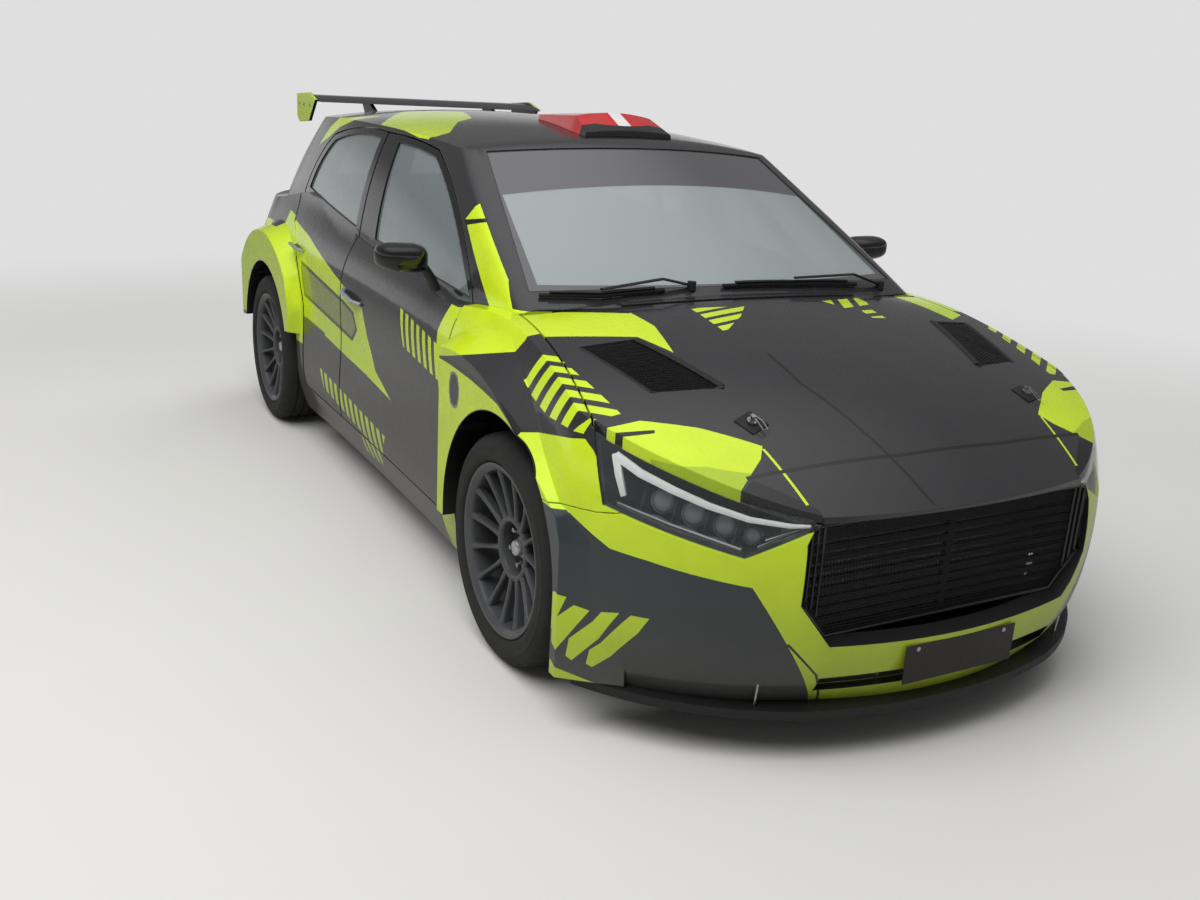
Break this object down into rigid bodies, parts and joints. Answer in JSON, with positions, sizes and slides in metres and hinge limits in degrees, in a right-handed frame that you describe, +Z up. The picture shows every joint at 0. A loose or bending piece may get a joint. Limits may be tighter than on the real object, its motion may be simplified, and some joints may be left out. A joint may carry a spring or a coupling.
{
  "type": "rally car",
  "caption": "Five-door rally hatchback with wide arches, roof scoop, rear wing, roll cage, opening doors, bonnet and tailgate, steering and free-turning wheels.",
  "frame": {"origin": "on the ground under the middle of the car", "axes": "+X towards the nose, +Y towards the car's left side, +Z up"},
  "size_m": [4.0998, 2, 1.456],
  "materials": {
    "dark_paint": "satin dark grey paint",
    "yellow_paint": "gloss yellow-green paint",
    "black_plastic": "textured black",
    "soft_plastic": "soft black",
    "clear_glass": "clear",
    "red_plastic": "gloss red",
    "grey_metal": "satin grey paint",
    "cast_metal": "as cast",
    "light_alloy": "brushed",
    "steel": "brushed",
    "seat_fabric": "black cloth",
    "tyre_rubber": "black rubber",
    "wheel_paint": "satin anthracite"
  },
  "bodies": {
    "chassis": {"body_shell": "dark_paint", "inner_frame": "grey_metal", "front_frame": "grey_metal", "wheelhouses": "black_plastic", "windscreen": "clear_glass", "front_bumper": "yellow_paint", "splitter": "black_plastic", "grille": "black_plastic", "headlamp_lenses": "clear_glass", "headlamp_bowls": "black_plastic", "front_wings": "yellow_paint", "rear_bumper": "yellow_paint", "tail_lamps": "red_plastic", "roof_scoop": "red_plastic", "dashboard": "soft_plastic", "seats": "seat_fabric", "roll_cage": "grey_metal", "engine_block": "cast_metal", "radiator": "light_alloy", "front_suspension": "grey_metal", "rear_suspension": "grey_metal", "exhaust": "steel", "sump_guard": "light_alloy"},
    "steering_wheel": {"steering_wheel": "soft_plastic"},
    "bonnet": {"bonnet": "dark_paint", "bonnet_vents": "black_plastic"},
    "tailgate": {"tailgate": "dark_paint", "tailgate_glass": "clear_glass", "rear_wing": "black_plastic"},
    "front_door_right": {"front_door_right": "dark_paint", "front_glass_right": "clear_glass", "mirror_right": "black_plastic"},
    "rear_door_right": {"rear_door_right": "dark_paint", "rear_glass_right": "clear_glass"},
    "knuckle_right": {"knuckle_right": "cast_metal"},
    "wheel_front_right": {"tyre_front_right": "tyre_rubber", "rim_front_right": "wheel_paint", "disc_front_right": "cast_metal"},
    "wheel_rear_right": {"tyre_rear_right": "tyre_rubber", "rim_rear_right": "wheel_paint", "disc_rear_right": "cast_metal"},
    "front_door_left": {"front_door_left": "dark_paint", "front_glass_left": "clear_glass", "mirror_left": "black_plastic"},
    "rear_door_left": {"rear_door_left": "dark_paint", "rear_glass_left": "clear_glass"},
    "knuckle_left": {"knuckle_left": "cast_metal"},
    "wheel_front_left": {"tyre_front_left": "tyre_rubber", "rim_front_left": "wheel_paint", "disc_front_left": "cast_metal"},
    "wheel_rear_left": {"tyre_rear_left": "tyre_rubber", "rim_rear_left": "wheel_paint", "disc_rear_left": "cast_metal"}
  },
  "joints": [
    {"name": "steer_right", "type": "hinge", "parent": "chassis", "child": "knuckle_right", "pos_m": [1.2, -0.69, 0.325], "axis": [0, 0, 1], "range_deg": [-28, 28]},
    {"name": "steer_left", "type": "hinge", "parent": "chassis", "child": "knuckle_left", "pos_m": [1.2, 0.69, 0.325], "axis": [0, 0, 1], "range_deg": [-28, 28]},
    {"name": "steering_wheel_turn", "type": "hinge", "parent": "chassis", "child": "steering_wheel", "pos_m": [0.455, 0.37, 0.842], "axis": [-0.9063, 0, 0.4226], "range_deg": [-280, 280]},
    {"name": "wheel_front_right_spin", "type": "hinge", "parent": "knuckle_right", "child": "wheel_front_right", "pos_m": [1.2, -0.785, 0.325], "axis": [0, 1, 0], "continuous": true},
    {"name": "wheel_rear_right_spin", "type": "hinge", "parent": "chassis", "child": "wheel_rear_right", "pos_m": [-1.36, -0.785, 0.325], "axis": [0, 1, 0], "continuous": true},
    {"name": "wheel_front_left_spin", "type": "hinge", "parent": "knuckle_left", "child": "wheel_front_left", "pos_m": [1.2, 0.785, 0.325], "axis": [0, 1, 0], "continuous": true},
    {"name": "wheel_rear_left_spin", "type": "hinge", "parent": "chassis", "child": "wheel_rear_left", "pos_m": [-1.36, 0.785, 0.325], "axis": [0, 1, 0], "continuous": true},
    {"name": "front_door_right_hinge", "type": "hinge", "parent": "chassis", "child": "front_door_right", "pos_m": [0.697, -0.87, 0.5], "axis": [0, 0, 1], "range_deg": [0, 65]},
    {"name": "rear_door_right_hinge", "type": "hinge", "parent": "chassis", "child": "rear_door_right", "pos_m": [-0.388, -0.86, 0.5], "axis": [0, 0, 1], "range_deg": [0, 65]},
    {"name": "front_door_left_hinge", "type": "hinge", "parent": "chassis", "child": "front_door_left", "pos_m": [0.697, 0.87, 0.5], "axis": [0, 0, -1], "range_deg": [0, 65]},
    {"name": "rear_door_left_hinge", "type": "hinge", "parent": "chassis", "child": "rear_door_left", "pos_m": [-0.388, 0.86, 0.5], "axis": [0, 0, -1], "range_deg": [0, 65]},
    {"name": "bonnet_hinge", "type": "hinge", "parent": "chassis", "child": "bonnet", "pos_m": [0.955, 0, 0.915], "axis": [0, -1, 0], "range_deg": [0, 50]},
    {"name": "tailgate_hinge", "type": "hinge", "parent": "chassis", "child": "tailgate", "pos_m": [-1.488, 0, 1.384], "axis": [0, 1, 0], "range_deg": [0, 75]}
  ],
  "couplings": [
    {"joint": "steer_left", "follows": "steer_right", "ratio": 1},
    {"joint": "steering_wheel_turn", "follows": "steer_right", "ratio": 10}
  ]
}
